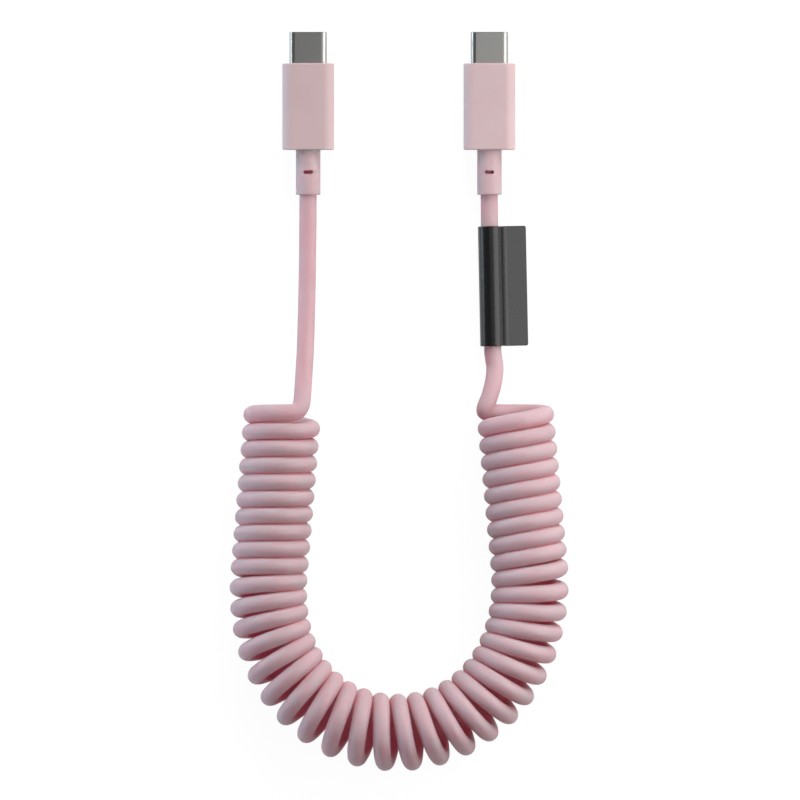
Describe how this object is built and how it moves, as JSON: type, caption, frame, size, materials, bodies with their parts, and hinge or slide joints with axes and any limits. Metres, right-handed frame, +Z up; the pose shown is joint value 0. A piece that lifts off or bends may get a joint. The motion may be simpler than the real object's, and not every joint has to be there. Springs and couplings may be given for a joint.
{
  "type": "usb-c cable",
  "caption": "Curly charging cable bent to a U, with a Type-C plug and sleeve strain relief on each end and a folded tie strap on one lead.",
  "frame": {"origin": "on the surface it lies on, under the middle of the whole cable's box", "axes": "+X across the two plugs, +Y from the coil's bend towards the plug mouths, +Z up from the surface"},
  "size_m": [0.0747, 0.1624, 0.0171],
  "materials": {
    "housing_pink": "fine matt moulding",
    "relief_pink": "soft matt moulding",
    "cord_pink": "smooth soft-touch jacket",
    "shell_steel": "satin nickel plate",
    "carrier_black": "moulded black",
    "contact_gold": "gold plate",
    "latch_steel": "stamped spring steel",
    "can_steel": "tin plate",
    "crimp_brass": "drawn brass",
    "card_green": "solder mask",
    "chip_black": "moulded resin",
    "wire_copper": "tinned copper strands",
    "strap_black": "satin silicone"
  },
  "bodies": {
    "cable": {"left_housing": "housing_pink", "left_strain_relief": "relief_pink", "left_crimp_ring": "crimp_brass", "left_shield_can": "can_steel", "left_plug_shell": "shell_steel", "left_contact_carrier": "carrier_black", "left_upper_contacts": "contact_gold", "left_lower_contacts": "contact_gold", "left_latch_plate": "latch_steel", "left_upper_ground_spring": "latch_steel", "left_lower_ground_spring": "latch_steel", "left_circuit_card": "card_green", "left_core_wires": "wire_copper", "right_housing": "housing_pink", "right_strain_relief": "relief_pink", "right_crimp_ring": "crimp_brass", "right_shield_can": "can_steel", "right_plug_shell": "shell_steel", "right_contact_carrier": "carrier_black", "right_upper_contacts": "contact_gold", "right_lower_contacts": "contact_gold", "right_latch_plate": "latch_steel", "right_upper_ground_spring": "latch_steel", "right_lower_ground_spring": "latch_steel", "right_circuit_card": "card_green", "right_core_wires": "wire_copper", "right_marker_chip": "chip_black", "left_lead": "cord_pink", "coil": "cord_pink", "right_lead": "cord_pink"},
    "strap": {"strap": "strap_black"}
  },
  "joints": [
    {"name": "strap_slide", "type": "slide", "parent": "cable", "child": "strap", "axis": [-0.0206, 0.9998, 0], "range_m": [-0.0015, 0.006]}
  ]
}
